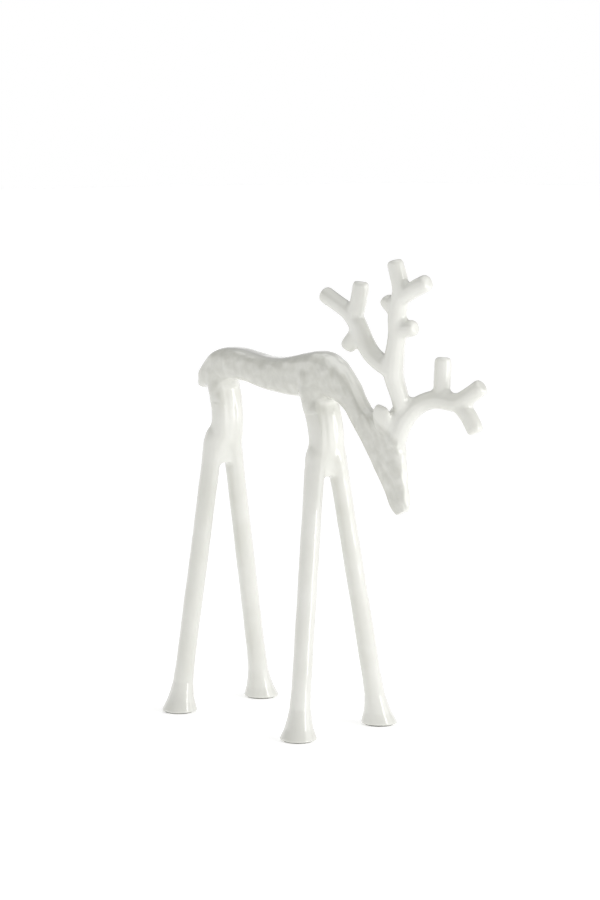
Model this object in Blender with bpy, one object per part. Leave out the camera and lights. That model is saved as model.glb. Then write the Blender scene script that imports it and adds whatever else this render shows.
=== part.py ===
"""Standing reindeer ornament: round bars and slab castings, doweled, welded and enamelled white.

Metres, +Z up, +X is the way the reindeer faces. The outlines are drawn from the point midway
between the four hooves, on the surface it stands on. At the end every piece is moved back, so
that the origin is in the middle of the whole length. Each piece is one closed solid, and every
joint has a gap.
"""

import math

import bmesh
import bpy
import numpy as np
from mathutils import Vector

# Enamel on the cast pieces, whose outlines give the bare metal.
COAT = 0.0004

# Gap that touching pieces keep, and the looser gap round a dowel.
JOINT_GAP = 0.0003
DOWEL_CLEARANCE = 0.0004

# Stance: where the four hooves stand, and how far apart the bar pairs leave the body.
WHEELBASE = 0.1515
TRACK = 0.0935
BODY_LENGTH = 0.126
HIP_X = -0.0665
SHOULDER_X = HIP_X + BODY_LENGTH

# Height of the middle of the back above the surface it stands on, and how far the bar pairs
# come down from there to the knee joints.
BACK_HEIGHT = 0.300
HIND_BAR_DROP = 0.0645
FRONT_BAR_DROP = 0.0680
KNEE_HEIGHTS = {"hind": BACK_HEIGHT - HIND_BAR_DROP, "front": BACK_HEIGHT - FRONT_BAR_DROP}
SIDES = {"right": -1, "left": 1}

# Bars of the legs and of the pairs that come down from the body.
LEG_RADIUS = 0.0081
KNEE_RADIUS = 0.0084
# The legs are set by hand. How far each is set forward and out from the bar above it, which
# leaves a step at the joint, and how far its hoof stands forward of its corner.
LEG_SETS = {
    ("hind", "right"): (-0.0026, 0.0042, -0.0011),
    ("hind", "left"): (-0.0004, 0.0000, 0.0008),
    ("front", "right"): (-0.0008, 0.0030, 0.0003),
    ("front", "left"): (0.0008, 0.0022, 0.0002),
}
HIND_PAIR_SPREAD = 0.0072
FRONT_PAIR_SPREAD = 0.0086
PAIR_SPREADS = {"hind": HIND_PAIR_SPREAD, "front": FRONT_PAIR_SPREAD}

# Hooves and the pads under them.
HOOF_RADIUS = 0.0152
HOOF_HEIGHT = 0.040
# The hoof's bell, as shares of its height and of its flare.
HOOF_BELL = [(1.0, 0.02), (0.62, 0.10), (0.40, 0.32), (0.22, 0.57), (0.08, 0.88), (0.025, 1.0), (0.0, 0.97)]
PAD_THICKNESS = 0.0010
PAD_INSET = 0.0022

# Body slab and neck.
SLAB_HALF_WIDTH = 0.0148
NECK_HALF_WIDTH = 0.0082
HEAD_HALF_WIDTH = 0.0080
MUZZLE_HALF_WIDTH = 0.0042
SLAB_SQUARENESS = 3.0
HEAD_SQUARENESS = 3.4

# Antlers.
STEM_RADIUS = 0.0082
BRANCH_RADIUS = 0.0075
TINE_RADIUS = 0.0067

# Dowels.
LEG_DOWEL_RADIUS = 0.0030
LEG_DOWEL_LENGTH = 0.022
HEAD_DOWEL_RADIUS = 0.0030
HEAD_DOWEL_LENGTH = 0.020
ANTLER_DOWEL_RADIUS = 0.0022
ANTLER_DOWEL_LENGTH = 0.014

# How finely the solids are faceted.
BODY_SIDES = 20
BAR_SIDES = 12
LEG_SIDES = 14
DOWEL_SIDES = 12
BODY_STEP = 0.0095
BAR_STEP = 0.0070
LEG_STEP = 0.030


def clear_scene():
    for old in list(bpy.data.objects):
        bpy.data.objects.remove(old)


def coated(name, colour, roughness, metallic=0.0):
    """A Principled material of one colour."""
    material = bpy.data.materials.new(name)
    material.use_nodes = True
    shader = material.node_tree.nodes["Principled BSDF"]
    shader.inputs["Base Color"].default_value = (*colour, 1.0)
    shader.inputs["Roughness"].default_value = roughness
    shader.inputs["Metallic"].default_value = metallic
    return material


def smooth_path(points, step):
    """Points on a Catmull-Rom curve through the given ones, about a step apart."""
    knots = np.array(points, float)
    padded = np.vstack([2 * knots[0] - knots[1], knots, 2 * knots[-1] - knots[-2]])
    path = [knots[0]]
    for before, start, end, after in zip(padded, padded[1:], padded[2:], padded[3:]):
        pieces = max(1, math.ceil(np.linalg.norm((end - start)[:3]) / step))
        for share in np.linspace(0.0, 1.0, pieces + 1)[1:]:
            bend = 2 * before - 5 * start + 4 * end - after
            twist = 3 * (start - end) + after - before
            path.append(start + 0.5 * share * ((end - before) + share * (bend + share * twist)))
    return np.array(path)


def solid(name, rings, material=None):
    """A closed skin through the rings: each ring is bridged to the next, and the ends are filled."""
    bm = bmesh.new()
    loops = []
    for ring in rings:
        corners = [bm.verts.new(point) for point in ring]
        loops.append([bm.edges.new(pair) for pair in zip(corners, corners[1:] + corners[:1])])
    for loop, following in zip(loops, loops[1:]):
        bmesh.ops.bridge_loops(bm, edges=loop + following)
    for loop in (loops[0], loops[-1]):
        bmesh.ops.edgeloop_fill(bm, edges=loop)
    bmesh.ops.recalc_face_normals(bm, faces=bm.faces)
    mesh = bpy.data.meshes.new(name)
    bm.to_mesh(mesh)
    bm.free()
    mesh.shade_smooth()
    mesh.set_sharp_from_angle(angle=math.radians(40))
    item = bpy.data.objects.new(name, mesh)
    bpy.context.scene.collection.objects.link(item)
    if material:
        mesh.materials.append(material)
    return item


def slab_ring(station, squareness, sides, grow=0.0):
    """A rounded rectangle that stands between a station's upper and lower contour points, coated."""
    top_x, top_z, low_x, low_z, half_width = station
    centre = Vector(((top_x + low_x) / 2, 0.0, (top_z + low_z) / 2))
    up = Vector((top_x - low_x, 0.0, top_z - low_z)) / 2
    up += up.normalized() * (COAT + grow)
    across = Vector((0.0, half_width + COAT + grow, 0.0))
    ring = []
    for step in range(sides):
        angle = 2 * math.pi * (step + 0.5) / sides
        side, rise = math.cos(angle), math.sin(angle)
        side = math.copysign(abs(side) ** (2 / squareness), side)
        rise = math.copysign(abs(rise) ** (2 / squareness), rise)
        ring.append(centre + across * side + up * rise)
    return ring


def slab(name, stations, squareness, material=None, grow=0.0):
    """A flattened bar whose side view is given by pairs of contour points."""
    path = smooth_path(stations, BODY_STEP)
    rings = [slab_ring(station, squareness, BODY_SIDES, grow) for station in path]
    return solid(name, rings, material)


def bar_rings(points, sides, step, grow=0.0, round_end=True, level=False):
    """Rings of a round bar along a smooth path of (x, y, z, radius).

    The start is cut square, the end is softened or cut square, and level rings stay horizontal,
    so that an upright bar ends flush with a joint or with the surface it stands on."""
    path = smooth_path(points, step)
    path[:, 3] += grow
    if grow:
        path = lengthened(path[::-1], grow)[::-1]
    if round_end:
        path = softened(path, grow)
    elif grow:
        path = lengthened(path, grow)
    places = path[:, :3]
    tangents = np.gradient(places, axis=0)
    side_way = Vector((0.0, 1.0, 0.0))
    rings = []
    for place, tangent, radius in zip(places, tangents, path[:, 3]):
        along = Vector((0.0, 0.0, -1.0)) if level else Vector(tangent).normalized()
        if abs(along.dot(side_way)) > 0.98:
            side_way = along.orthogonal()
        side_way = (side_way - along * side_way.dot(along)).normalized()
        other = along.cross(side_way)
        angles = [2 * math.pi * (count + 0.5) / sides for count in range(sides)]
        spokes = [side_way * math.cos(angle) + other * math.sin(angle) for angle in angles]
        rings.append([Vector(place) + spoke * radius for spoke in spokes])
    return rings


def softened(path, grow=0.0):
    """The path with its last point drawn in to a small flat end with a rounded rim."""
    end, before = path[-1].copy(), path[-2]
    along = (end - before)[:3] / np.linalg.norm((end - before)[:3])
    radius = end[3]
    places = [(-0.45, 1.0), (-0.14, 0.9), (0.0, 0.66)]
    rim = [np.append(end[:3] + along * (radius * back + grow), radius * share) for back, share in places]
    return np.vstack([path[:-1], rim])


def lengthened(path, grow):
    """The path with a cut end pushed out by the clearance."""
    end, before = path[-1].copy(), path[-2]
    along = (end - before)[:3] / np.linalg.norm((end - before)[:3])
    end[:3] += along * grow
    return np.vstack([path[:-1], end])


def bar(name, points, material=None, sides=BAR_SIDES, step=BAR_STEP, **ends):
    return solid(name, bar_rings(points, sides, step, **ends), material)


def rod(name, centre, along, radius, length, material=None):
    """A plain round rod with its middle at the centre."""
    ends = [centre - along * length / 2, centre + along * length / 2]
    points = [(*end, radius) for end in ends]
    return bar(name, points, material, sides=DOWEL_SIDES, step=length, round_end=False)


def hidden(item):
    """Keeps a cutter out of the model."""
    item.hide_render = True
    item.display_type = "WIRE"
    return item


def boolean(item, other, operation):
    """A live Boolean with another object."""
    modifier = item.modifiers.new(operation.title() + " " + other.name, "BOOLEAN")
    modifier.operation = operation
    modifier.solver = "EXACT"
    modifier.object = other


def cut(item, *cutters):
    for cutter in cutters:
        boolean(item, cutter, "DIFFERENCE")


def join(item, *others):
    for other in others:
        boolean(item, hidden(other), "UNION")


def dowel(name, centre, along, radius, length, material):
    """A rod across a joint, and the hidden cutter of its pocket."""
    pin = rod(name, centre, along, radius, length, material)
    room = rod(name + "_pocket", centre, along, radius + DOWEL_CLEARANCE, length + 2 * DOWEL_CLEARANCE)
    return pin, hidden(room)


# ---------------------------------------------------------------- outlines

def back_stations():
    """Upper point, lower point and half width from the tail flap to the end of the neck.

    The rump is placed from the hips, the withers and neck from the shoulders, and both from
    the height of the back."""
    wide, neck = SLAB_HALF_WIDTH, NECK_HALF_WIDTH
    rump = [
        (-0.0278, -0.0138, -0.0268, -0.0200, 0.66 * wide),
        (-0.0232, -0.0026, -0.0205, -0.0206, 0.85 * wide),
        (-0.0110, 0.0098, -0.0110, -0.0190, 0.97 * wide),
        (0.0035, 0.0150, 0.0030, -0.0160, wide),
        (0.0200, 0.0152, 0.0190, -0.0110, wide),
        (0.0375, 0.0128, 0.0360, -0.0122, 0.98 * wide),
        (0.0560, 0.0105, 0.0550, -0.0162, 0.98 * wide),
    ]
    withers = [
        (-0.0510, 0.0107, -0.0510, -0.0187, 0.98 * wide),
        (-0.0350, 0.0133, -0.0345, -0.0198, wide),
        (-0.0190, 0.0167, -0.0170, -0.0200, 1.02 * wide),
        (-0.0040, 0.0188, -0.0010, -0.0195, wide),
        (0.0090, 0.0158, 0.0120, -0.0192, 0.9 * wide),
        (0.0205, 0.0085, 0.0200, -0.0212, 0.76 * wide),
        (0.0314, -0.0015, 0.0262, -0.0258, 1.12 * neck),
        (0.0409, -0.0133, 0.0312, -0.0308, neck),
        (0.0500, -0.0256, 0.0368, -0.0380, neck),
    ]
    return [
        (ground_x + top_x, BACK_HEIGHT + top_z, ground_x + low_x, BACK_HEIGHT + low_z, half_width)
        for ground_x, part in ((HIP_X, rump), (SHOULDER_X, withers))
        for top_x, top_z, low_x, low_z, half_width in part
    ]


def head_stations():
    """The same pairs from the end of the neck, over the brow and down to the muzzle."""
    head, muzzle = HEAD_HALF_WIDTH, MUZZLE_HALF_WIDTH
    outline = [
        (0.0610, -0.0290, 0.0430, -0.0460, head),
        (0.0730, -0.0335, 0.0492, -0.0545, 0.98 * head),
        (0.0842, -0.0418, 0.0553, -0.0637, 0.92 * head),
        (0.0900, -0.0540, 0.0612, -0.0724, (head + muzzle) / 2 + 0.0008),
        (0.0922, -0.0680, 0.0674, -0.0815, (head + muzzle) / 2),
        (0.0940, -0.0830, 0.0738, -0.0924, 1.20 * muzzle),
        (0.0960, -0.0975, 0.0793, -0.1027, 1.12 * muzzle),
        (0.0958, -0.1048, 0.0855, -0.1090, 0.85 * muzzle),
    ]
    neck_end = back_stations()[-1]
    slope = (neck_end[1] - neck_end[3], neck_end[2] - neck_end[0])
    length = math.hypot(*slope)
    forward = (slope[0] / length, slope[1] / length)
    top_x, top_z, low_x, low_z, _ = neck_end
    start = (
        top_x + forward[0] * JOINT_GAP,
        top_z + forward[1] * JOINT_GAP,
        low_x + forward[0] * JOINT_GAP,
        low_z + forward[1] * JOINT_GAP,
        head,
    )
    rest = [
        (SHOULDER_X + top_x, BACK_HEIGHT + top_z, SHOULDER_X + low_x, BACK_HEIGHT + low_z, half_width)
        for top_x, top_z, low_x, low_z, half_width in outline
    ]
    return [start, *rest]


def from_withers(points):
    """Antler points, given from the shoulders and the height of the back."""
    return [(SHOULDER_X + x, y, BACK_HEIGHT + z, radius) for x, y, z, radius in points]


def pair_bar_points(end, side):
    """One bar of the pair that comes down from the body to the knee joint."""
    spread = side * PAIR_SPREADS[end]
    knee = KNEE_HEIGHTS[end]
    drop = BACK_HEIGHT - knee
    thin, thick = 0.97 * KNEE_RADIUS, 1.02 * KNEE_RADIUS
    if end == "hind":
        return [
            (HIP_X - 0.0062, spread, BACK_HEIGHT - 0.004, thick),
            (HIP_X - 0.0042, spread, BACK_HEIGHT - 0.3 * drop, thick),
            (HIP_X + 0.0005, spread, BACK_HEIGHT - 0.6 * drop, thin),
            (HIP_X + 0.0002, spread, BACK_HEIGHT - 0.85 * drop, KNEE_RADIUS),
            (HIP_X - 0.0018, spread, knee, 1.08 * KNEE_RADIUS),
        ]
    return [
        (SHOULDER_X - 0.0125, spread, BACK_HEIGHT - 0.004, 1.05 * thick),
        (SHOULDER_X - 0.0090, spread, BACK_HEIGHT - 0.3 * drop, 1.05 * thick),
        (SHOULDER_X - 0.0030, spread, BACK_HEIGHT - 0.55 * drop, thick),
        (SHOULDER_X, spread, BACK_HEIGHT - 0.8 * drop, thin),
        (SHOULDER_X + 0.0000, spread, knee, 1.06 * KNEE_RADIUS),
    ]


def leg_points(end, side_name):
    """A straight leg from its knee joint down to the hoof, which flares like a bell."""
    side = SIDES[side_name]
    step_x, step_y, foot_set = LEG_SETS[end, side_name]
    knee_x, knee_y, _, knee_radius = pair_bar_points(end, side)[-1]
    knee = Vector((knee_x + step_x, knee_y + side * step_y, KNEE_HEIGHTS[end] - JOINT_GAP))
    way = 1 if end == "front" else -1
    foot = Vector((way * WHEELBASE / 2 + foot_set, side * TRACK / 2, PAD_THICKNESS + JOINT_GAP))
    points = [(*knee, knee_radius)]
    for share in (0.08, 0.25, 0.50, 0.72):
        points.append((*knee.lerp(foot, share), LEG_RADIUS))
    flare = HOOF_RADIUS - LEG_RADIUS
    for share, spread in HOOF_BELL:
        place = foot.lerp(knee, share * HOOF_HEIGHT / (knee.z - foot.z))
        points.append((*place, LEG_RADIUS + flare * spread))
    return points


RIGHT_STEM = [
    (0.0894, 0.0020, -0.0290, 0.86 * STEM_RADIUS),
    (0.0899, -0.0030, -0.0120, 0.88 * STEM_RADIUS),
    (0.0888, -0.0082, 0.0030, 0.97 * STEM_RADIUS),
    (0.0908, -0.0110, 0.0150, 1.06 * STEM_RADIUS),
    (0.0942, -0.0122, 0.0280, BRANCH_RADIUS),
    (0.0978, -0.0135, 0.0410, BRANCH_RADIUS),
    (0.0985, -0.0150, 0.0520, 0.98 * BRANCH_RADIUS),
    (0.1018, -0.0162, 0.0640, 0.98 * BRANCH_RADIUS),
    (0.1052, -0.0172, 0.0740, 1.03 * TINE_RADIUS),
    (0.1035, -0.0185, 0.0860, 1.03 * TINE_RADIUS),
    (0.0998, -0.0195, 0.0985, 1.03 * TINE_RADIUS),
]
REAR_BRANCH = [
    (0.0915, -0.0110, 0.0088, BRANCH_RADIUS),
    (0.0806, -0.0128, 0.0142, BRANCH_RADIUS),
    (0.0692, -0.0150, 0.0223, BRANCH_RADIUS),
    (0.0622, -0.0170, 0.0332, 1.03 * BRANCH_RADIUS),
    (0.0575, -0.0188, 0.0450, BRANCH_RADIUS),
    (0.0503, -0.0200, 0.0540, 0.97 * BRANCH_RADIUS),
    (0.0370, -0.0220, 0.0617, TINE_RADIUS),
    (0.0225, -0.0240, 0.0692, 1.03 * TINE_RADIUS),
]
REAR_FORK_TINE = [
    (0.0552, -0.0198, 0.0520, 1.03 * TINE_RADIUS),
    (0.0590, -0.0193, 0.0650, 1.03 * TINE_RADIUS),
    (0.0608, -0.0182, 0.0799, TINE_RADIUS),
]
REAR_SPUR = [
    (0.0575, -0.0185, 0.0400, TINE_RADIUS),
    (0.0476, -0.0218, 0.0253, 0.97 * TINE_RADIUS),
]
TOP_TINE = [
    (0.1035, -0.0170, 0.0680, 1.03 * TINE_RADIUS),
    (0.1130, -0.0166, 0.0733, 1.03 * TINE_RADIUS),
    (0.1230, -0.0158, 0.0780, 1.03 * TINE_RADIUS),
    (0.1335, -0.0150, 0.0823, 1.03 * TINE_RADIUS),
]
BACK_SPUR = [
    (0.1000, -0.0152, 0.0540, 0.9 * TINE_RADIUS),
    (0.0878, -0.0175, 0.0680, 0.9 * TINE_RADIUS),
]
FRONT_SPUR = [
    (0.0985, -0.0136, 0.0436, TINE_RADIUS),
    (0.1060, -0.0124, 0.0438, TINE_RADIUS),
    (0.1153, -0.0110, 0.0452, 0.97 * TINE_RADIUS),
]
LEFT_BEAM = [
    (0.0843, -0.0010, -0.0510, 0.94 * STEM_RADIUS),
    (0.0890, -0.0005, -0.0370, 0.95 * STEM_RADIUS),
    (0.0960, 0.0037, -0.0240, 0.98 * STEM_RADIUS),
    (0.1035, 0.0097, -0.0170, BRANCH_RADIUS),
    (0.1130, 0.0150, -0.0137, 1.02 * BRANCH_RADIUS),
    (0.1235, 0.0180, -0.0146, 1.02 * BRANCH_RADIUS),
    (0.1330, 0.0203, -0.0152, BRANCH_RADIUS),
    (0.1430, 0.0238, -0.0085, 1.03 * TINE_RADIUS),
    (0.1532, 0.0268, -0.0008, 1.03 * TINE_RADIUS),
]
LEFT_UPPER_TINE = [
    (0.1175, 0.0165, -0.0134, 1.03 * TINE_RADIUS),
    (0.1164, 0.0188, 0.0030, 1.03 * TINE_RADIUS),
    (0.1160, 0.0200, 0.0200, TINE_RADIUS),
]
LEFT_LOWER_TINE = [
    (0.1330, 0.0205, -0.0160, 1.03 * TINE_RADIUS),
    (0.1428, 0.0228, -0.0268, 1.03 * TINE_RADIUS),
    (0.1492, 0.0240, -0.0388, 1.02 * TINE_RADIUS),
]

# Each antler piece with its points and the pieces that it is butted and welded to.
ANTLER_PIECES = {
    "left_antler_beam": (LEFT_BEAM, ["head"]),
    "right_antler_beam": (RIGHT_STEM, ["head", "left_antler_beam"]),
    "right_rear_branch": (REAR_BRANCH, ["right_antler_beam"]),
    "rear_fork_tine": (REAR_FORK_TINE, ["right_rear_branch"]),
    "rear_spur": (REAR_SPUR, ["right_rear_branch"]),
    "top_tine": (TOP_TINE, ["right_antler_beam"]),
    "back_spur": (BACK_SPUR, ["right_antler_beam"]),
    "front_spur": (FRONT_SPUR, ["right_antler_beam"]),
    "left_upper_tine": (LEFT_UPPER_TINE, ["left_antler_beam"]),
    "left_lower_tine": (LEFT_LOWER_TINE, ["left_antler_beam"]),
}

# The left beam stands on the brow, and the right one on the left beam's root. Where each one's
# dowel crosses, which way it points, and the pieces that it holds together.
ANTLER_DOWELS = {
    "left": ((0.0862, -0.0008, -0.0450), (0.32, 0.03, 0.95), ["head", "left_antler_beam"]),
    "right": (
        (0.0896, 0.0000, -0.0215), (0.03, -0.28, 1.0), ["left_antler_beam", "right_antler_beam"]
    ),
}

# An ear is a flattened thumb: the right one's path, and how far forward each is set.
EAR_PATH = [
    (0.0715, -0.0055, -0.0430),
    (0.0750, -0.0085, -0.0355),
    (0.0782, -0.0112, -0.0270),
    (0.0803, -0.0130, -0.0200),
]
EAR_SETS = {"right": 0.0, "left": -0.0045}
EAR_HALF_WIDTH = 0.0098
EAR_HALF_THICKNESS = 0.0036
# Its outline, as shares of its half width from root to tip.
EAR_OUTLINE = [0.72, 0.84, 0.95, 1.00, 0.98, 0.86, 0.55]
EAR_STEP = 0.0045


def ear(side_name, material):
    """A stubby leaf that leans back and out from the brow."""
    side = SIDES[side_name]
    path = smooth_path(EAR_PATH, EAR_STEP)
    wide_way = Vector((0.92, 0.18, -0.35)).normalized()
    thick_way = Vector((0.20, -0.96, -0.20)).normalized()
    angles = [2 * math.pi * step / BAR_SIDES for step in range(BAR_SIDES)]
    knots = np.linspace(0.0, 1.0, len(EAR_OUTLINE))
    rings = []
    for place, run in zip(path, np.linspace(0.0, 1.0, len(path))):
        share = np.interp(run, knots, EAR_OUTLINE)
        centre = Vector((SHOULDER_X + EAR_SETS[side_name], 0.0, BACK_HEIGHT)) + Vector(place)
        wide, thick = wide_way * EAR_HALF_WIDTH * share, thick_way * EAR_HALF_THICKNESS * share
        ring = [centre + wide * math.cos(angle) + thick * math.sin(angle) for angle in angles]
        rings.append([Vector((x, y * -side, z)) for x, y, z in ring])
    return solid(f"{side_name}_ear", rings, material)


# ---------------------------------------------------------------- build

def box(name, low, high):
    """A plain block between two corners."""
    bm = bmesh.new()
    bmesh.ops.create_cube(bm, size=1.0)
    low, high = Vector(low), Vector(high)
    bmesh.ops.scale(bm, vec=high - low, verts=bm.verts)
    bmesh.ops.translate(bm, vec=(low + high) / 2, verts=bm.verts)
    mesh = bpy.data.meshes.new(name)
    bm.to_mesh(mesh)
    bm.free()
    item = bpy.data.objects.new(name, mesh)
    bpy.context.scene.collection.objects.link(item)
    return item


def across_middle(end, side_name):
    """A cutter past the middle, so that the two legs of a pair stay a joint gap apart."""
    side = SIDES[side_name]
    near, far = -side * JOINT_GAP / 2, -side * TRACK
    low = (-WHEELBASE, min(near, far), 0.0)
    high = (WHEELBASE, max(near, far), BACK_HEIGHT)
    return hidden(box(f"{end}_{side_name}_middle", low, high))


def build():
    clear_scene()
    enamel = coated("white_enamel", (0.86, 0.86, 0.83), 0.12)
    steel = coated("dowel_steel", (0.45, 0.45, 0.46), 0.35, 1.0)
    felt = coated("grey_felt", (0.32, 0.32, 0.32), 0.95)

    body = slab("body", back_stations(), SLAB_SQUARENESS, enamel)
    head = slab("head", head_stations(), HEAD_SQUARENESS, enamel)

    for end in ("hind", "front"):
        for side_name, side in SIDES.items():
            down = Vector((0.0, 0.0, -1.0))
            above = bar(
                f"{end}_{side_name}_bar", pair_bar_points(end, side), round_end=False, level=True
            )
            join(body, above)
            leg = bar(
                f"{end}_{side_name}_leg",
                leg_points(end, side_name),
                enamel,
                sides=LEG_SIDES,
                step=LEG_STEP,
                round_end=False,
                level=True,
            )
            cut(leg, across_middle(end, side_name))
            bar_end = Vector(pair_bar_points(end, side)[-1][:3])
            leg_top = Vector(leg_points(end, side_name)[0][:3])
            joint = bar_end.lerp(leg_top, 0.5)
            _, pocket = dowel(
                f"{end}_{side_name}_leg_dowel", joint, down, LEG_DOWEL_RADIUS, LEG_DOWEL_LENGTH, steel
            )
            cut(body, pocket)
            cut(leg, pocket)
            foot_x, foot_y, _, sole_radius = leg_points(end, side_name)[-1]
            rod(
                f"{end}_{side_name}_pad",
                Vector((foot_x, foot_y, PAD_THICKNESS / 2)),
                down,
                sole_radius - PAD_INSET,
                PAD_THICKNESS,
                felt,
            )

    neck_end = back_stations()[-1]
    neck_middle = Vector(((neck_end[0] + neck_end[2]) / 2, 0.0, (neck_end[1] + neck_end[3]) / 2))
    across = Vector((neck_end[0] - neck_end[2], 0.0, neck_end[1] - neck_end[3])).normalized()
    forward = Vector((across.z, 0.0, -across.x))
    _, pocket = dowel(
        "head_dowel", neck_middle, forward, HEAD_DOWEL_RADIUS, HEAD_DOWEL_LENGTH, steel
    )
    cut(body, pocket)
    cut(head, pocket)

    rooms = {"head": hidden(slab("head_room", head_stations(), HEAD_SQUARENESS, grow=JOINT_GAP))}
    antlers = {}
    for name in ("left_antler_beam", "right_antler_beam", "right_rear_branch"):
        points = from_withers(ANTLER_PIECES[name][0])
        rooms[name] = hidden(bar(name + "_room", points, grow=JOINT_GAP))
    for name, (points, neighbours) in ANTLER_PIECES.items():
        antlers[name] = bar(name, from_withers(points), enamel)
        cut(antlers[name], *[rooms[neighbour] for neighbour in neighbours])

    beams = [rooms["left_antler_beam"], rooms["right_antler_beam"]]
    pieces = {"head": head, **antlers}
    for side_name in SIDES:
        cut(ear(side_name, enamel), rooms["head"], *beams)
        centre, along, held = ANTLER_DOWELS[side_name]
        centre = Vector((SHOULDER_X, 0.0, BACK_HEIGHT)) + Vector(centre)
        along = Vector(along).normalized()
        _, pocket = dowel(
            f"{side_name}_antler_dowel", centre, along, ANTLER_DOWEL_RADIUS, ANTLER_DOWEL_LENGTH, steel
        )
        for name in held:
            cut(pieces[name], pocket)


def centre_lengthways():
    """Sets every piece so that the origin is in the middle of the whole length."""
    shown = [item for item in bpy.data.objects if not item.hide_render]
    places = [vertex.co.x for item in shown for vertex in item.data.vertices]
    middle = (min(places) + max(places)) / 2
    for item in bpy.data.objects:
        item.location.x -= middle


build()
centre_lengthways()
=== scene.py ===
"""Standing reindeer ornament: the enamelled skin over the cast pieces, felt pads and studio."""

import math

import bmesh
import bpy
from mathutils import Matrix, Vector, noise
from mathutils.bvhtree import BVHTree


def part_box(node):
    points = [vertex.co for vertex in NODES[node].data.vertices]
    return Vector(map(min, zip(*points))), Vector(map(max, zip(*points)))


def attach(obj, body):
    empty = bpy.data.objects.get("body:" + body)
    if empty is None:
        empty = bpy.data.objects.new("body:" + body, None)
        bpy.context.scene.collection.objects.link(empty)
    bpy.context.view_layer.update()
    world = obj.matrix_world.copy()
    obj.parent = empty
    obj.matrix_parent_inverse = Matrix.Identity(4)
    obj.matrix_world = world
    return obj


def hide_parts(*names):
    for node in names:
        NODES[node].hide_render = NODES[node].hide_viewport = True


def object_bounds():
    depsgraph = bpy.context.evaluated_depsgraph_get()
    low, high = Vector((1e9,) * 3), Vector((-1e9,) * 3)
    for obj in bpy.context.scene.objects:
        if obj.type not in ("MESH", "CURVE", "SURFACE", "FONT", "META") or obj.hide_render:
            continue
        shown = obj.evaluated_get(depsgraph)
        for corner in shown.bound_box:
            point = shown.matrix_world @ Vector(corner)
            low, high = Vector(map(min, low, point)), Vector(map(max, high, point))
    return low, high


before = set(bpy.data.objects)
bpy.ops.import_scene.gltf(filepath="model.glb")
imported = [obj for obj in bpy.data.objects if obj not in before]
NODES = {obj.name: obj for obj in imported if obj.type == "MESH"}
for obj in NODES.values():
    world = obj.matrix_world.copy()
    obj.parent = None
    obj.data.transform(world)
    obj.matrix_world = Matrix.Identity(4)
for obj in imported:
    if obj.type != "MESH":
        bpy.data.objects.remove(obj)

CAD_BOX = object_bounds()
MM = 0.001

PADS = ["hind_right_pad", "hind_left_pad", "front_right_pad", "front_left_pad"]
DOWELS = sorted(name for name in NODES if name.endswith("dowel"))

# How the enamelled pieces are welded together: each pair is two branches that meet at a seam.
RIGHT_ANTLER = (
    "right_antler_beam",
    (
        ("right_rear_branch", ("rear_fork_tine", "rear_spur")),
        ("top_tine", ("back_spur", "front_spur")),
    ),
)
LEFT_ANTLER = ("left_antler_beam", ("left_upper_tine", "left_lower_tine"))
LEGS = (("hind_right_leg", "hind_left_leg"), ("front_right_leg", "front_left_leg"))
HEAD = (("head", ("right_ear", "left_ear")), (RIGHT_ANTLER, LEFT_ANTLER))
ORNAMENT = (("body", LEGS), HEAD)

# The skin: how finely it is meshed, how far the bare pieces and the dowels are swollen so that
# their joints close, and how often it is eased. It then flows into the inner corners: how often,
# and over how small a rise that starts. Last it is eased again and drawn back to size.
SKIN_VOXEL = 0.85 * MM
SKIN_SWELL = 1.10 * MM
DOWEL_SWELL = 0.6 * MM
SKIN_EASING = 16
SKIN_FLOW = 150
FLOW_START = 0.15 * MM
LAST_EASING = 4
SKIN_DRAW_BACK = 0.75 * MM

# The webs of weld in the crotches: how far they reach below and above the knees, how wide they
# are between the legs, and their half thickness.
WEB_DROPS = {"hind": 21.0 * MM, "front": 17.5 * MM}
WEB_RISE = 8 * MM
WEB_WIDTH = 20 * MM
WEB_HALF_THICKNESS = 6.2 * MM

# The lenses of weld, as half sizes forward, across and up. One lies over the step at each knee,
# a little below it.
KNEE_BEAD = (10.1 * MM, 10.1 * MM, 17.0 * MM)
KNEE_BEAD_DROP = 2 * MM

# A row of them fills the valley between a pair of bars, up to a height above the knees.
VALLEY_BEADS = {"hind": (9.0 * MM, 8.0 * MM, 6.0 * MM), "front": (8.2 * MM, 8.0 * MM, 6.0 * MM)}
VALLEY_RISES = {"hind": 58 * MM, "front": 52 * MM}
VALLEY_STEP = 3.0 * MM

# The flats beaten on the fronts of the bars: how far forward of their middles, and from how far
# to how far out.
BAR_FLATS = {"hind": (9.5 * MM, 0.0, 12.0 * MM), "front": (9.2 * MM, 4.6 * MM, 14.5 * MM)}

# How the bars lean back above the knees: from what height up, and how sharply the lean grows.
LEAN_START = 12.0 * MM
BAR_LEANS = {"hind": 4.1, "front": 7.8}

# The lenses where the front bars run out on the body's sides: how far out the bars lie there,
# how far the lens stands proud of that, how near the knees' middle the bars are looked for, and
# over what length their ends are.
SHOULDER_BEAD = (9.4 * MM, 9.0 * MM, 16.0 * MM)
SHOULDER_SIDE = 16.4 * MM
SHOULDER_PROUD = 1.8 * MM
BAR_REACH = 20 * MM
BAR_END = 3 * MM

# The lens between the right ear and the antler, and how far above the antler's root it is.
EAR_BEAD = (6.0 * MM, 4.5 * MM, 5.0 * MM)
EAR_BEAD_RISE = 1.5 * MM

# Where the pairs' welds are filed soft: from and to how far above the knees and how far forward
# or back, over what distance that fades, and how often they are smoothed.
SOFT_ZONE = (-6.0 * MM, 60.0 * MM, 13.0 * MM)
SOFT_FADE = 7.0 * MM
SOFT_TIMES = 60

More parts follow.
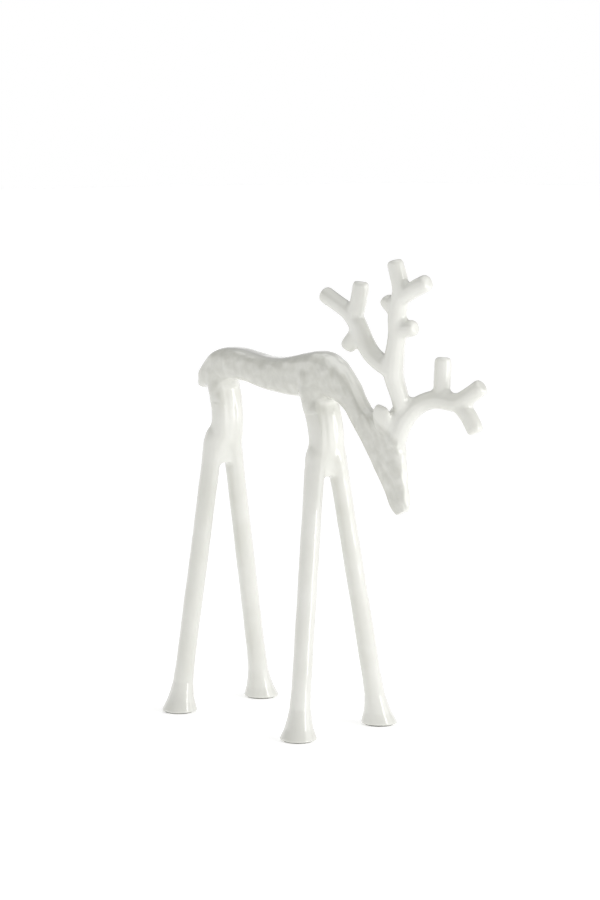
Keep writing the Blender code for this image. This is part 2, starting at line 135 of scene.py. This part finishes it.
# Where the marks of hand forming are, measured from the body's lowest and foremost points and
# the head's foremost one. Ahead of the neck's start the marks reach down at one slope and end
# under the antlers at another, and hammer dents give way to long strokes over a short blend.
BARS_END = 36 * MM
NECK_LENGTH = 42 * MM
BROW_OVERHANG = 1 * MM
MARKED_HEIGHT = 55 * MM
THROAT_SLOPE = 2.5
NAPE_SLOPE = 0.85
NAPE_START = -8 * MM
NECK_BLEND = 14 * MM
STROKE_WAY = Vector((0.5, 0.0, -0.87))

# How far sideways the surface has to face before dents show, and by how much more they are full.
DENT_FACING = 0.35
DENT_FADE = 0.4

# The marks of hand forming, as depth, size and how far they are drawn out.
SLOW_WANDER = (0.30 * MM, 26 * MM)
QUICK_WANDER = (0.14 * MM, 11 * MM)
DENTS = (0.95 * MM, 8 * MM, 1.5)
STROKES = (0.75 * MM, 3.4 * MM, 6.0)

# The legs are trued round up to a height below the knees, fully so a fade below that, wherever
# the skin is not much nearer the leg's middle or much further out than its radius. A leg's
# vertices within the ring height make a ring, which counts if its radii are nearly the same.
ROUND_END = 22 * MM
ROUND_FADE = 25 * MM
ROUND_ENOUGH = 0.8
ROUND_NEAREST = 0.7
ROUND_BEYOND = 3 * MM
RING_HEIGHT = 0.2 * MM

# How far the skin stays inside the cast pieces' box, how near a seam a vertex is taken to lie on
# it, and how thick a slice of a leg counts as its upper end.
BOX_MARGIN = 0.05 * MM
SEAM_SNAP = 0.03 * MM
LEG_END_SLICE = 0.5 * MM


# ---------------------------------------------------------------- colours and node helper

def linear(code):
    """An sRGB hex colour as the linear one that the shaders take."""
    parts = [int(code[place:place + 2], 16) / 255 for place in (1, 3, 5)]
    return (*[c / 12.92 if c <= 0.04045 else ((c + 0.055) / 1.055) ** 2.4 for c in parts], 1.0)


def add_node(tree, kind, links=(), **settings):
    """One shader node: settings on it or on its inputs, and links as (socket, input)."""
    node = tree.nodes.new(kind)
    for name, value in settings.items():
        if hasattr(node, name):
            setattr(node, name, value)
        else:
            node.inputs[name.replace("_", " ")].default_value = value
    for source, target in links:
        tree.links.new(source, node.inputs[target])
    return node


def new_material(name):
    material = bpy.data.materials.new(name)
    material.use_nodes = True
    return material, material.node_tree, material.node_tree.nodes["Principled BSDF"]


def worked_out(tree, operation, first, second):
    """What a Math node makes of two sockets or numbers."""
    node = add_node(tree, "ShaderNodeMath", operation=operation)
    for value, socket in zip((first, second), node.inputs):
        if isinstance(value, float):
            socket.default_value = value
        else:
            tree.links.new(value, socket)
    return node.outputs[0]


def faded_in(tree, value, low, high):
    """0 below a value, rising smoothly to 1 at another."""
    links = [(value, "Value")]
    node = add_node(
        tree, "ShaderNodeMapRange", links, interpolation_type="SMOOTHSTEP", From_Min=low, From_Max=high
    )
    return node.outputs["Result"]


# ---------------------------------------------------------------- materials

# The flanks that are painted darker as shade, and get hammer-mark bumps, lie between a foot and a
# top height. Ahead of where the neck starts the foot falls at one slope, down to the muzzle, and the
# top at another, under the antlers. Each fades over a short height, and so does the turn from the
# flanks to the back and the face's front.
NECK_START = 0.008
FLANK_FOOT = 0.269
FLANK_TOP = 0.326
FOOT_FADE = 10 * MM
TOP_FADE = 8 * MM
MUZZLE_SLOPE = 1.5
BROW_SLOPE = 0.85
FLANK_FACING = (0.35, 0.75)


def shaded_and_hammered_flanks(tree, place, normal):
    """Where the sides of the slab, neck and head are painted a darker grey as shade and get
    hammer-mark bumps.
    """
    spot = add_node(tree, "ShaderNodeSeparateXYZ", [(place, "Vector")]).outputs
    facing = add_node(tree, "ShaderNodeSeparateXYZ", [(normal, "Vector")]).outputs
    ahead = worked_out(tree, "MAXIMUM", worked_out(tree, "SUBTRACT", spot["X"], NECK_START), 0.0)
    low_way = worked_out(tree, "MULTIPLY", ahead, MUZZLE_SLOPE)
    foot_height = worked_out(tree, "ADD", spot["Z"], low_way)
    above_bars = faded_in(tree, foot_height, FLANK_FOOT, FLANK_FOOT + FOOT_FADE)
    high_way = worked_out(tree, "MULTIPLY", ahead, BROW_SLOPE)
    top_height = worked_out(tree, "ADD", spot["Z"], high_way)
    depth = worked_out(tree, "SUBTRACT", FLANK_TOP, top_height)
    under_antlers = faded_in(tree, depth, 0.0, TOP_FADE)
    # Painted shade: only surfaces that face sideways are darkened.
    sideways = faded_in(tree, worked_out(tree, "ABSOLUTE", facing["Y"], 0.0), *FLANK_FACING)
    both = worked_out(tree, "MULTIPLY", above_bars, under_antlers)
    return worked_out(tree, "MULTIPLY", both, sideways)


def white_enamel():
    """Thick white enamel on cast aluminium, dipped and fired: an opaque glassy coat whose surface
    has a slow roll and a faint orange peel, and whose white is a little warmer in random patches.
    Its flanks are painted a mottled darker grey as shade."""
    material, tree, shader = new_material("white_enamel_on_cast_aluminium")
    coordinates = add_node(tree, "ShaderNodeTexCoord").outputs
    place = coordinates["Object"]
    pooling = add_node(tree, "ShaderNodeTexNoise", [(place, "Vector")], Scale=28.0, Detail=3.0)
    tint = add_node(tree, "ShaderNodeValToRGB", [(pooling.outputs["Fac"], "Fac")])
    tint.color_ramp.elements[0].position = 0.30
    tint.color_ramp.elements[0].color = linear("#DDDDD5")
    tint.color_ramp.elements[1].position = 0.70
    tint.color_ramp.elements[1].color = linear("#E6E6E0")
    # Painted shade: the sides of the slab, neck and head are darkened; the hammer-mark bumps go there
    # too.
    flanks = shaded_and_hammered_flanks(tree, place, coordinates["Normal"])
    # One noise gives both the hammer marks' bumps and the mottle of the painted shade.
    marks = add_node(
        tree, "ShaderNodeTexNoise", [(place, "Vector")], Scale=125.0, Detail=2.0, Distortion=0.3
    )
    # Painted shade, mottled: darkest where the marks' noise is low.
    mottled_shade = faded_in(tree, marks.outputs["Fac"], 1.05, 0.10)
    painted_flank_shade = worked_out(tree, "MULTIPLY", flanks, mottled_shade)
    # The base colour: the random tint, painted towards a darker grey (#CACAC1) on the flanks as shade.
    base = add_node(
        tree,
        "ShaderNodeMixRGB",
        [(painted_flank_shade, "Fac"), (tint.outputs["Color"], "Color1")],
        Color2=linear("#CACAC1"),
    )
    tree.links.new(base.outputs["Color"], shader.inputs["Base Color"])
    hammering = worked_out(tree, "MULTIPLY", flanks, marks.outputs["Fac"])
    hammered = add_node(
        tree, "ShaderNodeBump", [(hammering, "Height")], Strength=0.6, Distance=0.45 * MM
    )
    roll = add_node(tree, "ShaderNodeTexNoise", [(place, "Vector")], Scale=95.0, Detail=1.0)
    peel = add_node(tree, "ShaderNodeTexNoise", [(place, "Vector")], Scale=620.0, Detail=2.0)
    slow = add_node(
        tree,
        "ShaderNodeBump",
        [(roll.outputs["Fac"], "Height"), (hammered.outputs["Normal"], "Normal")],
        Strength=0.35,
        Distance=0.5 * MM,
    )
    fine = add_node(
        tree,
        "ShaderNodeBump",
        [(peel.outputs["Fac"], "Height"), (slow.outputs["Normal"], "Normal")],
        Strength=0.12,
        Distance=0.08 * MM,
    )
    tree.links.new(fine.outputs["Normal"], shader.inputs["Normal"])
    shader.inputs["Roughness"].default_value = 0.30
    shader.inputs["IOR"].default_value = 1.52
    shader.inputs["Coat Weight"].default_value = 1.0
    shader.inputs["Coat Roughness"].default_value = 0.025
    shader.inputs["Coat IOR"].default_value = 1.54
    return material


def drawn_steel():
    """Plain drawn steel rod: grey, with fine lines round it from the die."""
    material, tree, shader = new_material("drawn_steel")
    place = add_node(tree, "ShaderNodeTexCoord").outputs["Object"]
    lines = add_node(tree, "ShaderNodeTexNoise", [(place, "Vector")], Scale=900.0, Detail=2.0)
    bump = add_node(
        tree, "ShaderNodeBump", [(lines.outputs["Fac"], "Height")], Strength=0.2, Distance=0.02 * MM
    )
    tree.links.new(bump.outputs["Normal"], shader.inputs["Normal"])
    shader.inputs["Base Color"].default_value = linear("#B4B5B6")
    shader.inputs["Metallic"].default_value = 1.0
    shader.inputs["Roughness"].default_value = 0.34
    return material


def pressed_felt():
    """Thin pressed wool felt: dull grey with a short tangled nap."""
    material, tree, shader = new_material("pressed_grey_felt")
    place = add_node(tree, "ShaderNodeTexCoord").outputs["Object"]
    nap = add_node(tree, "ShaderNodeTexNoise", [(place, "Vector")], Scale=1400.0, Detail=4.0)
    tint = add_node(tree, "ShaderNodeValToRGB", [(nap.outputs["Fac"], "Fac")])
    tint.color_ramp.elements[0].color = linear("#6E6E6B")
    tint.color_ramp.elements[1].color = linear("#96958F")
    bump = add_node(
        tree, "ShaderNodeBump", [(nap.outputs["Fac"], "Height")], Strength=0.8, Distance=0.15 * MM
    )
    tree.links.new(tint.outputs["Color"], shader.inputs["Base Color"])
    tree.links.new(bump.outputs["Normal"], shader.inputs["Normal"])
    shader.inputs["Roughness"].default_value = 0.95
    shader.inputs["Sheen Weight"].default_value = 0.3
    return material


# ---------------------------------------------------------------- the skin

def link(name, mesh):
    item = bpy.data.objects.new(name, mesh)
    bpy.context.scene.collection.objects.link(item)
    return item


def baked(item):
    """The item's mesh as its modifiers leave it."""
    graph = bpy.context.evaluated_depsgraph_get()
    mesh = bpy.data.meshes.new_from_object(item.evaluated_get(graph))
    bpy.data.objects.remove(item)
    return mesh


def swollen_copy(bm, name, swell):
    """Adds a node's mesh to bm, merged and moved out along its normals."""
    part = bmesh.new()
    part.from_mesh(NODES[name].data)
    bmesh.ops.remove_doubles(part, verts=part.verts, dist=0.001 * MM)
    part.normal_update()
    for vertex in part.verts:
        vertex.co += vertex.normal * swell
    mesh = bpy.data.meshes.new("swollen")
    part.to_mesh(mesh)
    part.free()
    bm.from_mesh(mesh)
    bpy.data.meshes.remove(mesh)


def bead(bm, centre, reaches):
    """Adds a lens of weld."""
    ball = bmesh.ops.create_uvsphere(bm, u_segments=20, v_segments=12, radius=1.0)["verts"]
    bmesh.ops.scale(bm, verts=ball, vec=reaches)
    bmesh.ops.translate(bm, verts=ball, vec=centre)


def block(bm, centre, size):
    """Adds a block of metal."""
    cube = bmesh.ops.create_cube(bm, size=1.0)["verts"]
    bmesh.ops.scale(bm, verts=cube, vec=size)
    bmesh.ops.translate(bm, verts=cube, vec=centre)


def middle_of(places):
    return sum(places, Vector()) / len(places)


def knees_of(end):
    """The middles of a pair of legs' upper ends."""
    knees = []
    for side in ("right", "left"):
        name = f"{end}_{side}_leg"
        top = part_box(name)[1].z
        places = [vertex.co for vertex in NODES[name].data.vertices]
        knees.append(middle_of([place for place in places if place.z > top - LEG_END_SLICE]))
    return knees


def crotch_web(bm, end):
    """A block of weld between a pair of legs, from their knees down."""
    top = middle_of(knees_of(end)) + Vector((0, 0, WEB_RISE))
    height = WEB_DROPS[end] + WEB_RISE
    middle = Vector((top.x, 0.0, top.z - height / 2))
    block(bm, middle, (2 * WEB_HALF_THICKNESS, WEB_WIDTH, height))


def smoothed(mesh, times):
    """The mesh smoothed that many times."""
    item = link("smoothed", mesh)
    easing = item.modifiers.new("easing", "SMOOTH")
    easing.factor = 0.5
    easing.iterations = times
    return baked(item)


def knee_and_valley_weld(bm, end):
    """Weld over a pair's knees and up between its bars, whose fronts are beaten flat."""
    knees = knees_of(end)
    for knee in knees:
        bead(bm, knee - Vector((0, 0, KNEE_BEAD_DROP)), KNEE_BEAD)
    middle = middle_of(knees)
    flat, inner, outer = BAR_FLATS[end]
    for step in range(round(VALLEY_RISES[end] / VALLEY_STEP)):
        rise = step * VALLEY_STEP
        lean = BAR_LEANS[end] * max(0.0, rise - LEAN_START) ** 2
        place = Vector((middle.x - lean, 0.0, middle.z + rise))
        bead(bm, place, VALLEY_BEADS[end])
        for side in (-1, 1):
            out = Vector((flat / 2, side * (inner + outer) / 2, 0.0))
            block(bm, place + out, (flat, outer - inner, 2 * VALLEY_STEP))


def shoulder_weld(bm, end):
    """Weld where bars that stand out from the body's sides run into it."""
    middle = middle_of(knees_of(end))
    body = [vertex.co for vertex in NODES["body"].data.vertices]
    near = [place for place in body if abs(place.x - middle.x) < BAR_REACH]
    proud = [place for place in near if abs(place.y) > SHOULDER_SIDE]
    if proud:
        top = max(place.z for place in proud)
        bar_end = middle_of([place for place in proud if place.z > top - BAR_END])
        for side in (-1, 1):
            out = side * (SHOULDER_SIDE + SHOULDER_PROUD - SHOULDER_BEAD[1])
            bead(bm, (bar_end.x, out, top), SHOULDER_BEAD)


def ear_weld(bm):
    """Weld between the right ear and the antler behind it."""
    ear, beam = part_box("right_ear"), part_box("right_antler_beam")
    bead(bm, ((ear[1].x + beam[0].x) / 2, ear[1].y, beam[0].z + EAR_BEAD_RISE), EAR_BEAD)


def within(value, low, high, fade):
    """1 between two values, falling smoothly to 0 a fade beyond them."""
    run = min((value - low) / fade, (high - value) / fade) + 1
    run = min(1.0, max(0.0, run))
    return run * run * (3 - 2 * run)


def softened(skin):
    """The skin with the pairs' welds filed soft."""
    goals = smoothed(skin.copy(), SOFT_TIMES).vertices
    low, high, reach = SOFT_ZONE
    for end in WEB_DROPS:
        knee = middle_of(knees_of(end))
        for vertex, goal in zip(skin.vertices, goals):
            rise, forward = vertex.co.z - knee.z, vertex.co.x - knee.x
            share = within(rise, low, high, SOFT_FADE) * within(forward, -reach, reach, SOFT_FADE)
            if share > 0:
                vertex.co = vertex.co.lerp(goal.co, share)
    return skin


def bare_skin(names):
    """One closed skin over the pieces, whose inner corners are filled as by weld and enamel."""
    bm = bmesh.new()
    for name in names:
        swollen_copy(bm, name, SKIN_SWELL)
    for name in DOWELS:
        swollen_copy(bm, name, DOWEL_SWELL)
    for end in WEB_DROPS:
        crotch_web(bm, end)
        knee_and_valley_weld(bm, end)
        shoulder_weld(bm, end)
    ear_weld(bm)
    mesh = bpy.data.meshes.new("bare_skin")
    bm.to_mesh(mesh)
    bm.free()
    item = link("bare_skin", mesh)
    remesh = item.modifiers.new("voxels", "REMESH")
    remesh.mode = "VOXEL"
    remesh.voxel_size = SKIN_VOXEL
    eased = smoothed(baked(item), SKIN_EASING)
    flowed = smoothed(eased.copy(), SKIN_FLOW)
    ways = [goal.co - vertex.co for vertex, goal in zip(eased.vertices, flowed.vertices)]
    normals = [vertex.normal.copy() for vertex in eased.vertices]
    for vertex, way, normal in zip(eased.vertices, ways, normals):
        rise = way.dot(normal)
        if rise > 0:
            vertex.co += way * min(1.0, rise / FLOW_START)
    return softened(smoothed(eased, LAST_EASING))


def ripple(place, size, seed):
    """Smooth noise from -1 to 1 with features of about that size."""
    return noise.noise(place / size + Vector((seed, 2.3 * seed, -1.7 * seed)))


def stretched(place, along, factor):
    """A place squeezed along a direction, so that noise there is drawn out into streaks."""
    return place - along * place.dot(along) * (1 - 1 / factor)


def forming(place, normal, bars_end, neck_start, brow):
    """How far hand forming leaves the surface from true: dents on the slab's sides, long strokes
    down the neck and face, and a slow wander along the bars."""
    wander = 0.0
    for (depth, size), seed in ((SLOW_WANDER, 1.0), (QUICK_WANDER, 5.0)):
        wander += depth * ripple(place, size, seed)
    ahead = place.x - neck_start
    if place.z < bars_end - THROAT_SLOPE * max(0.0, ahead):
        return wander
    if place.x > brow or place.z > bars_end + MARKED_HEIGHT - NAPE_SLOPE * max(NAPE_START, ahead):
        return wander
    sideways = min(1.0, max(0.0, (abs(normal.y) - DENT_FACING) / DENT_FADE))
    neck = min(1.0, max(0.0, ahead / NECK_BLEND + 0.5))
    depth, size, factor = DENTS
    dent = depth * ripple(stretched(place, Vector((1, 0, 0)), factor), size, 9.0)
    depth, size, factor = STROKES
    stroke = depth * ripple(stretched(place, STROKE_WAY, factor), size, 4.0)
    return wander + (1 - neck) * sideways * dent + neck * stroke


def leg_rounds():
    """Each leg's level rings from its hoof up, as their middles and radii."""
    legs = []
    for name in leaves(LEGS):
        rings = {}
        for vertex in NODES[name].data.vertices:
            rings.setdefault(round(vertex.co.z / RING_HEIGHT), []).append(vertex.co)
        rounds = []
        for _, ring in sorted(rings.items()):
            middle = middle_of(ring)
            reaches = [(place - middle).length for place in ring]
            if min(reaches) > ROUND_ENOUGH * max(reaches):
                rounds.append((middle, max(reaches)))
        legs.append(rounds)
    return legs


def rounded(place, legs, top):
    """A place near a leg moved out or in to the leg's true round."""
    if place.z > top:
        return place
    for rounds in legs:
        for (low, low_reach), (high, high_reach) in zip(rounds, rounds[1:]):
            if low.z <= place.z <= high.z:
                run = (place.z - low.z) / (high.z - low.z)
                middle = low.lerp(high, run)
                reach = low_reach + (high_reach - low_reach) * run
                out = Vector((place.x - middle.x, place.y - middle.y, 0.0))
                if ROUND_NEAREST * reach < out.length < reach + ROUND_BEYOND:
                    share = min(1.0, (top - place.z) / ROUND_FADE)
                    return place + out.normalized() * ((reach - out.length) * share)
    return place


def kept_inside(place, low, high, sole):
    """A place moved into the cast pieces' box, and not below the hooves' soles."""
    inside = [
        min(max(value, least + BOX_MARGIN), most - BOX_MARGIN)
        for value, least, most in zip(place, low, high)
    ]
    return Vector((inside[0], inside[1], max(inside[2], sole)))


def formed_skin(mesh):
    """Draws the skin back to size and gives it the marks of hand forming."""
    bm = bmesh.new()
    bm.from_mesh(mesh)
    bm.normal_update()
    legs = leg_rounds()
    sole, leg_end = (corner.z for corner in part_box("front_left_leg"))
    for vertex in bm.verts:
        drawn = vertex.co - vertex.normal * SKIN_DRAW_BACK
        vertex.co = rounded(drawn, legs, leg_end - ROUND_END)
    bm.normal_update()
    bars_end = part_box("body")[0].z + BARS_END
    neck_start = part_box("body")[1].x - NECK_LENGTH
    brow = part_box("head")[1].x + BROW_OVERHANG
    shifts = [
        vertex.normal * forming(vertex.co, vertex.normal, bars_end, neck_start, brow)
        for vertex in bm.verts
    ]
    low, high = CAD_BOX
    for vertex, shift in zip(bm.verts, shifts):
        vertex.co = kept_inside(vertex.co + shift, low, high, sole)
    bm.normal_update()
    facing = bm.verts.layers.float_vector.new("facing")
    for vertex in bm.verts:
        vertex[facing] = vertex.normal
    return bm


# ---------------------------------------------------------------- cutting the skin into its pieces

def closed(bm):
    """Fills the openings that a cut has left, each with a fan round its middle."""
    rims = [edge for edge in bm.edges if edge.is_boundary]
    if not rims:
        return bm
    for edge in rims:
        edge.smooth = False
    caps = bmesh.ops.edgeloop_fill(bm, edges=rims)["faces"]
    for face in caps:
        face.material_index = 1
    bmesh.ops.poke(bm, faces=caps)
    return bm


def split_where(bm, marks):
    """Splits the faces along the marks' zero line: marks gives each vertex's value."""
    crossing = [edge for edge in bm.edges if marks[edge.verts[0]] * marks[edge.verts[1]] < 0]
    for edge in crossing:
        start, end = edge.verts
        share = marks[start] / (marks[start] - marks[end])
        middle = bmesh.utils.edge_split(edge, start, share)[1]
        marks[middle] = 0.0
    on_line = [vertex for vertex, mark in marks.items() if mark == 0.0]
    bmesh.ops.connect_verts(bm, verts=on_line)
    bm.faces.index_update()


def parted(bm, marks):
    """Cuts bm where the marks change sign: the two sides, each closed."""
    split_where(bm, marks)
    sides = {}
    for face in bm.faces:
        sides[face.index] = min(marks[vertex] for vertex in face.verts) < 0
    other = bm.copy()
    for side, mesh in ((True, bm), (False, other)):
        away = [face for face in mesh.faces if sides[face.index] != side]
        bmesh.ops.delete(mesh, geom=away, context="FACES")
    return closed(bm), closed(other)


def leaves(branch):
    """The names of the pieces on a branch of the ornament."""
    if isinstance(branch, str):
        return [branch]
    return [name for part in branch for name in leaves(part)]


def surface_of(branch):
    """The cast surfaces of a branch's pieces, to measure distances to."""
    bm = bmesh.new()
    for name in leaves(branch):
        bm.from_mesh(NODES[name].data)
    return BVHTree.FromBMesh(bm)


def cut_apart(bm, branch):
    """Cuts a branch's skin where its pieces meet, and returns a mesh for each piece."""
    if isinstance(branch, str):
        return {branch: bm}
    near, far = (surface_of(part) for part in branch)
    marks = {}
    for vertex in bm.verts:
        mark = near.find_nearest(vertex.co)[3] - far.find_nearest(vertex.co)[3]
        marks[vertex] = 0.0 if abs(mark) < SEAM_SNAP else mark
    one, other = parted(bm, marks)
    return {**cut_apart(one, branch[0]), **cut_apart(other, branch[1])}


def enamelled(name, bm, material):
    """A finished piece of the skin, which stands for its node and shades on without a seam."""
    mesh = bpy.data.meshes.new(name + "_enamelled")
    bmesh.ops.triangulate(bm, faces=[face for face in bm.faces if len(face.verts) > 4])
    facing = bm.verts.layers.float_vector["facing"]
    bm.verts.ensure_lookup_table()
    normals = []
    for face in bm.faces:
        for vertex in face.verts:
            normals.append((0, 0, 0) if face.material_index else vertex[facing].normalized())
        face.material_index = 0
        face.smooth = True
    bm.verts.layers.float_vector.remove(facing)
    bm.to_mesh(mesh)
    bm.free()
    mesh.normals_split_custom_set(normals)
    item = link(name + "_enamelled", mesh)
    mesh.materials.append(material)
    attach(item, "root")
    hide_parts(name)


# ---------------------------------------------------------------- studio

CAMERA_TURN = math.radians(47.5)
CAMERA_TILT = math.radians(6.75)
CAMERA_REACH = 2.258
AIM_RIGHT = 0.0184
AIM_UP = 0.2299
LENS_MM = 105.0
PAPER_GLOW = 0.38

# The walls are white up to one height and ease to the ceiling's dimness at another, in degrees.
WALL_TOP = 8
CEILING_START = 26
CEILING_LIGHT = 0.30

# The silk overhead: how strong it is and over how many degrees it spreads.
OVERHEAD_LIGHT = 1.0
OVERHEAD_SPREAD = 80

# What the softboxes look at, from the middle of the stance. Then each one: degrees round to
# the right of the camera's side, degrees up, metres away, width, height and watts.
LIGHT_AIM = Vector((0.05, 0.0, 0.22))
KEY_STRIP = (56.0, 6.0, 1.6, 0.30, 1.2, 5.0)
SIDE_PANEL = (75.0, 12.0, 2.0, 1.8, 1.5, 9.0)


def stance_middle():
    """The point on the floor midway between the four hooves."""
    middle = middle_of([middle_of(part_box(name)) for name in PADS])
    return Vector((middle.x, middle.y, 0.0))


def set_camera():
    back = Vector((
        math.sin(CAMERA_TURN) * math.cos(CAMERA_TILT),
        -math.cos(CAMERA_TURN) * math.cos(CAMERA_TILT),
        math.sin(CAMERA_TILT),
    ))
    right = Vector((math.cos(CAMERA_TURN), math.sin(CAMERA_TURN), 0.0))
    up = back.cross(right)
    place = stance_middle() + back * CAMERA_REACH + right * AIM_RIGHT + up * AIM_UP
    data = bpy.data.cameras.new("camera")
    data.lens = LENS_MM
    data.sensor_width = 36.0
    data.clip_end = 50.0
    camera = bpy.data.objects.new("camera", data)
    turn = Matrix((right, up, back)).transposed().to_4x4()
    camera.matrix_world = Matrix.Translation(place) @ turn
    bpy.context.scene.collection.objects.link(camera)
    bpy.context.scene.camera = camera


def softbox(name, aim, turn, rise, distance, width, height, power):
    """A rectangular soft light, turned round from the camera's side, that looks at the aim."""
    azimuth = CAMERA_TURN + math.radians(turn)
    flat = Vector((math.sin(azimuth), -math.cos(azimuth), 0.0))
    way = flat * math.cos(math.radians(rise)) + Vector((0, 0, math.sin(math.radians(rise))))
    data = bpy.data.lights.new(name, "AREA")
    data.shape = "RECTANGLE"
    data.size = width
    data.size_y = height
    data.energy = power
    item = bpy.data.objects.new(name, data)
    item.location = aim + way * distance
    item.rotation_euler = way.to_track_quat("Z", "Y").to_euler()
    bpy.context.scene.collection.objects.link(item)


def paper_sweep():
    """A pale seamless floor."""
    material, tree, shader = new_material("pale_paper")
    shader.inputs["Base Color"].default_value = linear("#F7F7F7")
    shader.inputs["Roughness"].default_value = 0.9
    shader.inputs["Emission Color"].default_value = linear("#FFFFFF")
    shader.inputs["Emission Strength"].default_value = PAPER_GLOW
    bm = bmesh.new()
    bmesh.ops.create_grid(bm, x_segments=1, y_segments=1, size=20.0)
    mesh = bpy.data.meshes.new("floor")
    bm.to_mesh(mesh)
    bm.free()
    mesh.materials.append(material)
    floor = link("floor", mesh)


def studio_walls():
    """White walls round a dimmer ceiling, as plain soft light from every side."""
    world = bpy.data.worlds.new("studio_walls")
    world.use_nodes = True
    tree = world.node_tree
    way = add_node(tree, "ShaderNodeTexCoord").outputs["Generated"]
    height = add_node(tree, "ShaderNodeSeparateXYZ", [(way, "Vector")]).outputs["Z"]
    shade = add_node(tree, "ShaderNodeValToRGB", [(height, "Fac")])
    ramp = shade.color_ramp
    ramp.interpolation = "EASE"
    ramp.elements[0].position = math.sin(math.radians(WALL_TOP))
    ramp.elements[0].color = (1.0, 1.0, 1.0, 1.0)
    ramp.elements[1].position = math.sin(math.radians(CEILING_START))
    ramp.elements[1].color = (CEILING_LIGHT, CEILING_LIGHT, CEILING_LIGHT, 1.0)
    tree.links.new(shade.outputs["Color"], tree.nodes["Background"].inputs["Color"])
    tree.nodes["Background"].inputs["Strength"].default_value = 1.0
    bpy.context.scene.world = world


def set_studio():
    set_camera()
    paper_sweep()
    studio_walls()
    aim = stance_middle() + LIGHT_AIM
    softbox("key_strip", aim, *KEY_STRIP)
    softbox("side_panel", aim, *SIDE_PANEL)
    data = bpy.data.lights.new("overhead_silk", "SUN")
    data.energy = OVERHEAD_LIGHT
    data.angle = math.radians(OVERHEAD_SPREAD)
    bpy.context.scene.collection.objects.link(bpy.data.objects.new("overhead_silk", data))
    bpy.context.scene.view_settings.view_transform = "Standard"


# ---------------------------------------------------------------- build

def build():
    enamel, steel, felt = white_enamel(), drawn_steel(), pressed_felt()
    bm = formed_skin(bare_skin(leaves(ORNAMENT)))
    for name, piece in cut_apart(bm, ORNAMENT).items():
        enamelled(name, piece, enamel)
    for names, material in ((DOWELS, steel), (PADS, felt)):
        for name in names:
            for slot in NODES[name].material_slots:
                slot.material = material


build()
set_studio()
